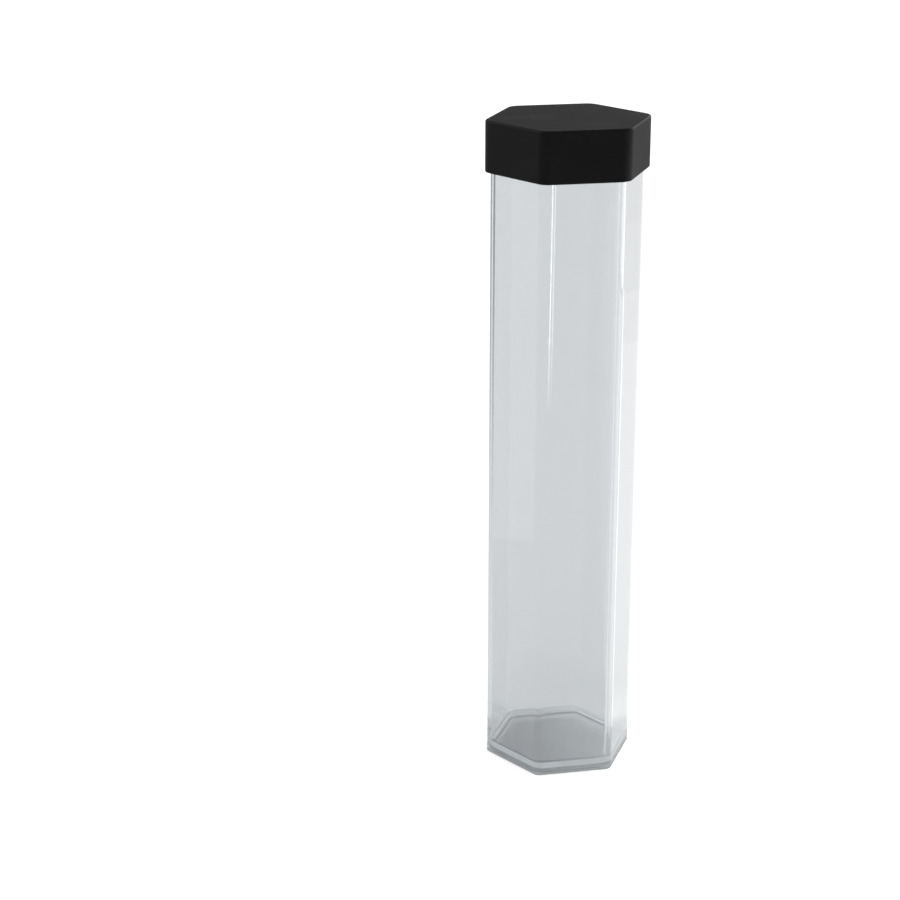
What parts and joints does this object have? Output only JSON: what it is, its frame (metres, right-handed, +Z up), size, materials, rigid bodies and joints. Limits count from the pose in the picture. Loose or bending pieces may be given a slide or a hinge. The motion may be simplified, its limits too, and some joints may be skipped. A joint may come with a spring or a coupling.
{
  "type": "playmat tube",
  "caption": "Clear hexagonal storage tube for a rolled playmat, with a clear bonded floor and a black push-on cap that pulls off upwards.",
  "frame": {"origin": "centre of the lower rim, on the surface that the tube stands on", "axes": "+Z up along the tube's axis towards the cap, +X through a corner of the hexagon, -Y out of the flat that faces the viewer"},
  "size_m": [0.0922, 0.0822, 0.377],
  "materials": {
    "clear_sleeve": "clear extruded plastic, polished, with faint draw lines",
    "clear_floor": "clear moulded plastic, polished",
    "soft_black": "black soft-touch plastic with a fine moulded grain"
  },
  "bodies": {
    "tube": {"tube_sleeve": "clear_sleeve", "floor_plug": "clear_floor"},
    "cap": {"cap": "soft_black"}
  },
  "joints": [
    {"name": "cap_pull", "type": "slide", "parent": "tube", "child": "cap", "axis": [0, 0, 1], "range_m": [0, 0.12]}
  ]
}
